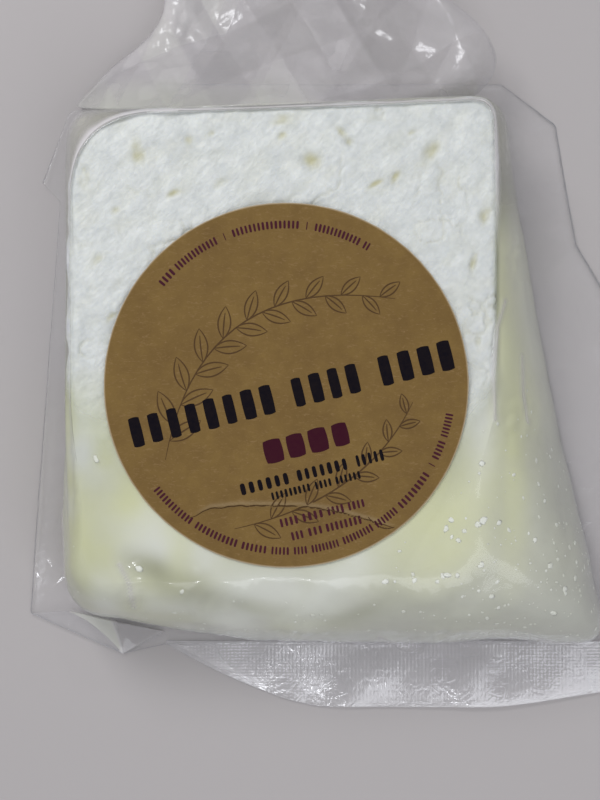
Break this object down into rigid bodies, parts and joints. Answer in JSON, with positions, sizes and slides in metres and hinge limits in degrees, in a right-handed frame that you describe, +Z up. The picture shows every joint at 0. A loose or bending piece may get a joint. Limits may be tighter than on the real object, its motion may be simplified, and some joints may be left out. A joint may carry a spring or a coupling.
{
  "type": "vacuum-packed feta block",
  "caption": "Slab of white feta lying in cloudy brine in a clear sealed pouch, with a round kraft paper label, an embossed front seal and a crumpled loose end.",
  "frame": {"origin": "on the resting face, under the middle of the whole pack's box", "axes": "+Z up out of the labelled face, +Y towards the loose end of the pouch, +X to the right when the label is read from above"},
  "size_m": [0.1152, 0.1594, 0.0261],
  "materials": {
    "cheese": "moist crumbly white curd",
    "brine_and_film": "cloudy straw brine under glossy clear film",
    "film": "clear glossy wrinkled film",
    "seal": "clear film with a fine cross-hatch emboss",
    "label_paper": null
  },
  "bodies": {
    "root": {"feta_block": "cheese", "brine_pouch": "brine_and_film", "lower_web": "film", "front_seal": "seal", "left_seam": "film", "right_seam": "film", "corner_fold": "film", "loose_end": "film", "end_seal": "seal", "label": "label_paper"}
  },
  "joints": []
}
